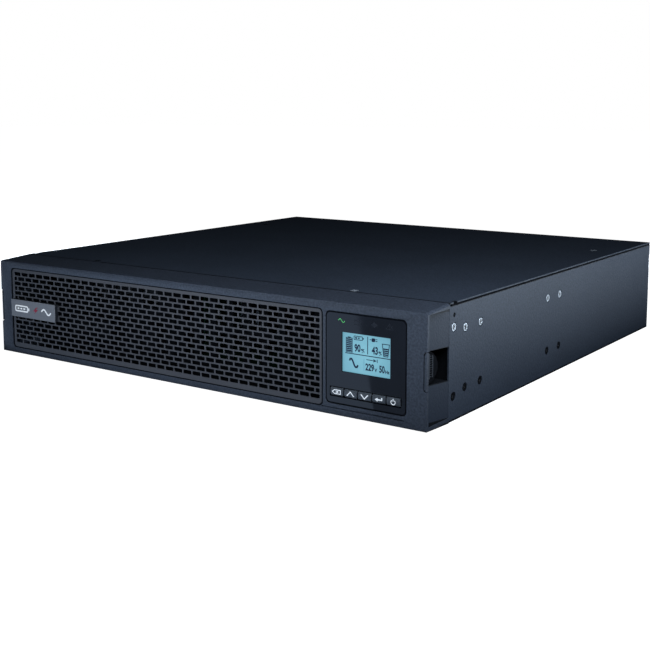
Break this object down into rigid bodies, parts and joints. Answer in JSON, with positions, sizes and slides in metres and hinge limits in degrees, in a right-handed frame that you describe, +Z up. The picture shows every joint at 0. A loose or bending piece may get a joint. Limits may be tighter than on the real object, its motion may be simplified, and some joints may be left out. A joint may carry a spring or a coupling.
{
  "type": "uninterruptible power supply",
  "caption": "Low wide rack or tower power supply with a perforated front, square display module, finger latches and rear outlets.",
  "frame": {"origin": "middle of the footprint, on the surface that the case lies on", "axes": "+Z up, the front with the display faces -Y, +X is the display's side"},
  "size_m": [0.4394, 0.4462, 0.0854],
  "materials": {
    "case_paint": "fine textured dark slate powder coat",
    "bezel_plastic": "fine spark-eroded dark slate plastic",
    "black_plastic": "plain black moulded plastic",
    "gloss_black": "polished near-black window",
    "badge_face": "satin blue-grey plate",
    "screen_face": "lit pale blue display",
    "key_plastic": "satin dark grey keys with white marks",
    "zinc": "bright zinc plate",
    "plain_steel": "galvanised sheet",
    "aluminium": "plain extruded",
    "board_green": "green solder resist",
    "battery_case": "grey battery case",
    "copper_wire": "enamelled copper winding",
    "sleeve_blue": "shrink sleeve",
    "signal_red": "red plastic",
    "ferrite": "dull ferrite"
  },
  "bodies": {
    "case": {"chassis_pan": "case_paint", "top_cover": "case_paint", "front_plate": "case_paint", "battery_bay_wall": "case_paint", "rear_panel": "case_paint", "slot_cover": "case_paint", "cover_screw_front_left": "zinc", "cover_screw_front_right": "zinc", "cover_screw_rear_left": "zinc", "cover_screw_rear_right": "zinc", "power_board": "board_green", "control_board": "board_green", "port_board": "board_green", "heatsink_left": "aluminium", "heatsink_right": "aluminium", "capacitor_bank": "sleeve_blue", "choke_coil_front": "copper_wire", "choke_coil_rear": "copper_wire", "transformer_core": "ferrite", "transformer_coil": "copper_wire", "relay_bank": "black_plastic", "inlet_filter": "aluminium", "outlet_bank_lower": "black_plastic", "outlet_bank_upper": "black_plastic", "power_inlet": "black_plastic", "breaker_body": "black_plastic", "usb_port": "zinc", "serial_port": "zinc", "shutdown_terminal": "key_plastic", "network_ports": "black_plastic", "battery_port": "signal_red", "fan_frame_inner": "black_plastic", "fan_frame_outer": "black_plastic", "fan_guard_inner": "zinc", "fan_guard_outer": "zinc"},
    "battery_drawer": {"battery_tray": "plain_steel", "tray_handle": "black_plastic", "battery_1": "battery_case", "battery_2": "battery_case", "battery_3": "battery_case", "battery_strap": "plain_steel", "battery_plug": "signal_red"},
    "bezel": {"front_bezel": "bezel_plastic", "grille_panel": "bezel_plastic", "badge_plate": "badge_face"},
    "latch_right": {"finger_latch_right": "bezel_plastic"},
    "latch_left": {"finger_latch_left": "bezel_plastic"},
    "display": {"display_window": "gloss_black", "display_housing": "black_plastic", "display_screen": "screen_face", "display_board": "board_green"},
    "breaker_push": {"breaker_button": "signal_red"},
    "fan_inner": {"fan_rotor_inner": "black_plastic"},
    "fan_outer": {"fan_rotor_outer": "black_plastic"},
    "key_escape": {"escape_button": "key_plastic"},
    "key_up": {"up_button": "key_plastic"},
    "key_down": {"down_button": "key_plastic"},
    "key_enter": {"enter_button": "key_plastic"},
    "key_power": {"power_button": "key_plastic"}
  },
  "joints": [
    {"name": "battery_drawer_slide", "type": "slide", "parent": "case", "child": "battery_drawer", "axis": [0, -1, 0], "range_m": [0, 0.3]},
    {"name": "bezel_pull", "type": "slide", "parent": "battery_drawer", "child": "bezel", "axis": [0, -1, 0], "range_m": [0, 0.06]},
    {"name": "display_pull", "type": "slide", "parent": "bezel", "child": "display", "axis": [0, -1, 0], "range_m": [0, 0.02]},
    {"name": "latch_right_swing", "type": "hinge", "parent": "bezel", "child": "latch_right", "pos_m": [0.2173, -0.2181, 0.0427], "axis": [0, 0, -1], "range_deg": [0, 6], "stiffness_Nm_per_rad": 0.3},
    {"name": "latch_left_swing", "type": "hinge", "parent": "bezel", "child": "latch_left", "pos_m": [-0.2173, -0.2181, 0.0427], "axis": [0, 0, 1], "range_deg": [0, 6], "stiffness_Nm_per_rad": 0.3},
    {"name": "escape_press", "type": "slide", "parent": "display", "child": "key_escape", "axis": [0, 1, 0], "range_m": [0, 0.0008], "stiffness_N_per_m": 1200},
    {"name": "up_press", "type": "slide", "parent": "display", "child": "key_up", "axis": [0, 1, 0], "range_m": [0, 0.0008], "stiffness_N_per_m": 1200},
    {"name": "down_press", "type": "slide", "parent": "display", "child": "key_down", "axis": [0, 1, 0], "range_m": [0, 0.0008], "stiffness_N_per_m": 1200},
    {"name": "enter_press", "type": "slide", "parent": "display", "child": "key_enter", "axis": [0, 1, 0], "range_m": [0, 0.0008], "stiffness_N_per_m": 1200},
    {"name": "power_press", "type": "slide", "parent": "display", "child": "key_power", "axis": [0, 1, 0], "range_m": [0, 0.0008], "stiffness_N_per_m": 1200},
    {"name": "breaker_trip", "type": "slide", "parent": "case", "child": "breaker_push", "axis": [0, 1, 0], "range_m": [0, 0.003]},
    {"name": "fan_inner_spin", "type": "hinge", "parent": "case", "child": "fan_inner", "pos_m": [0.116, 0.2039, 0.042], "axis": [0, 1, 0], "continuous": true},
    {"name": "fan_outer_spin", "type": "hinge", "parent": "case", "child": "fan_outer", "pos_m": [0.182, 0.2039, 0.042], "axis": [0, 1, 0], "continuous": true}
  ]
}
